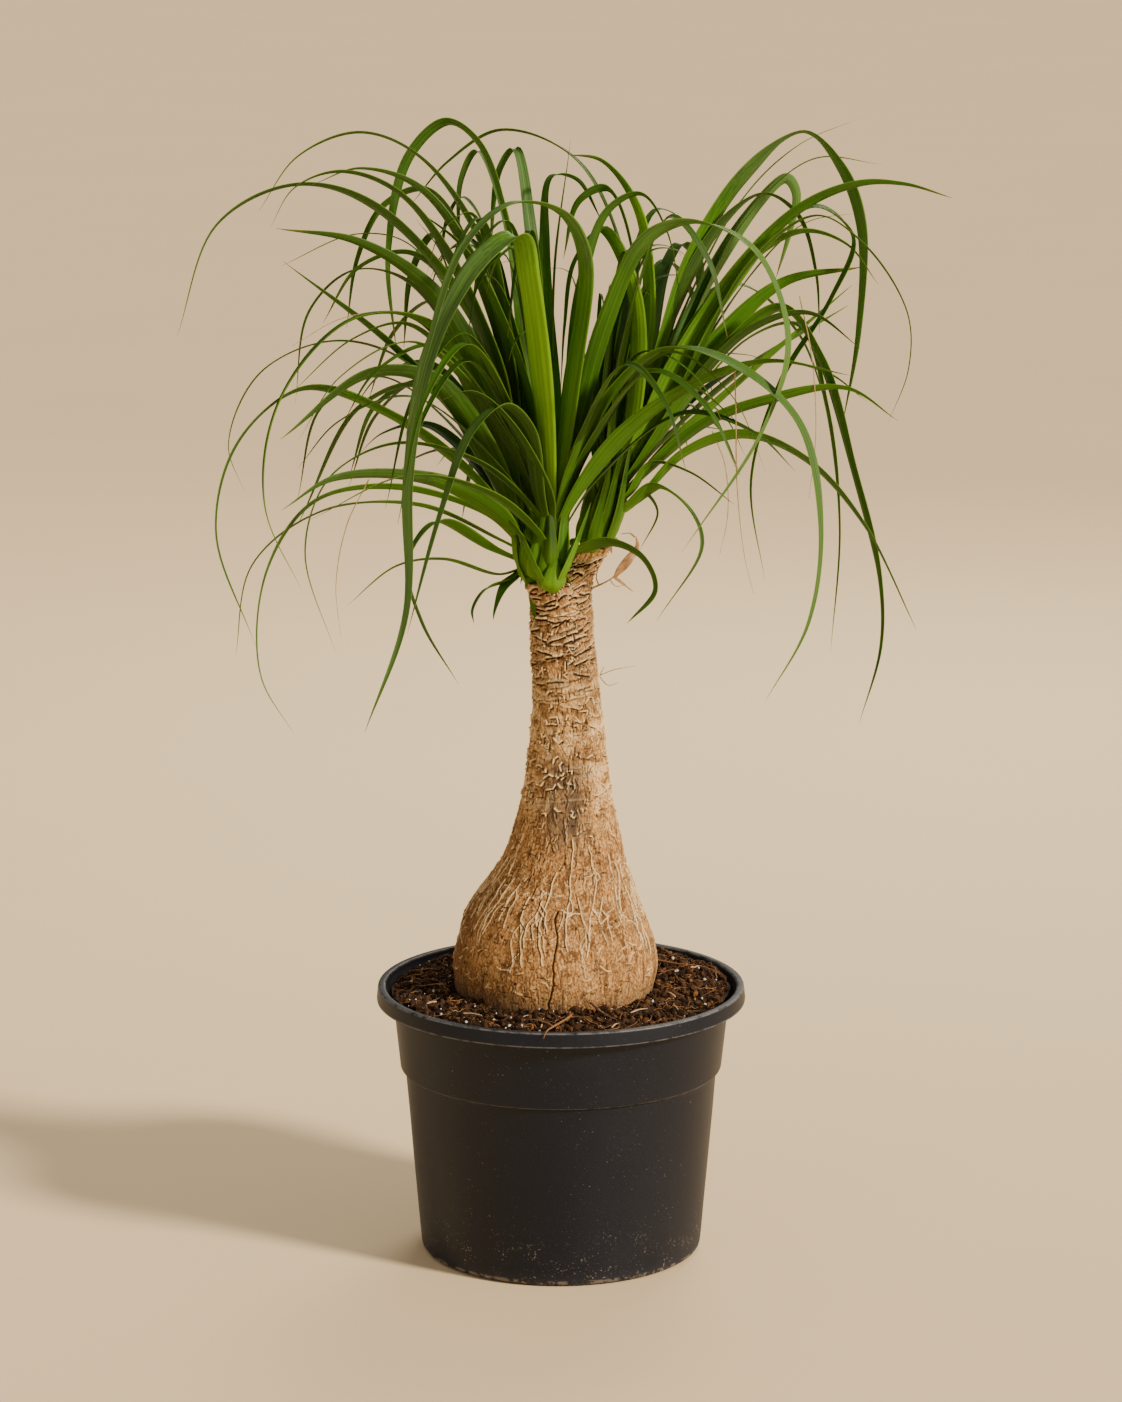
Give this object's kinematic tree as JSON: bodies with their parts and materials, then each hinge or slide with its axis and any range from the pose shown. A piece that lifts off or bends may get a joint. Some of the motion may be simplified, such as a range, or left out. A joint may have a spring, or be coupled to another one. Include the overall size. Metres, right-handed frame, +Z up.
{
  "type": "potted ponytail palm",
  "caption": "Young potted plant with a swollen corky trunk that forks into crowns of long arching strap leaves, in a round nursery container with a stepped rim.",
  "frame": {"origin": "centre of the pot's underside, on the surface it stands on and on the pot's own axis", "axes": "+Z up along the pot's axis, +X to the right across both crowns, -Y towards the viewer"},
  "size_m": [0.4853, 0.3686, 0.7379],
  "materials": {
    "pot_plastic": "satin near-black moulded plastic with dust",
    "soil": "crumbly dark potting soil with pale grains",
    "bark": "dry corky bark with cream ridges",
    "leaf_green": "smooth satin leaf",
    "dry_leaf": "dry brittle leaf"
  },
  "bodies": {
    "root": {"pot": "pot_plastic", "soil": "soil", "trunk": "bark", "leaf_crown_left": "leaf_green", "leaf_crown_right": "leaf_green", "dry_leaf": "dry_leaf"}
  },
  "joints": []
}
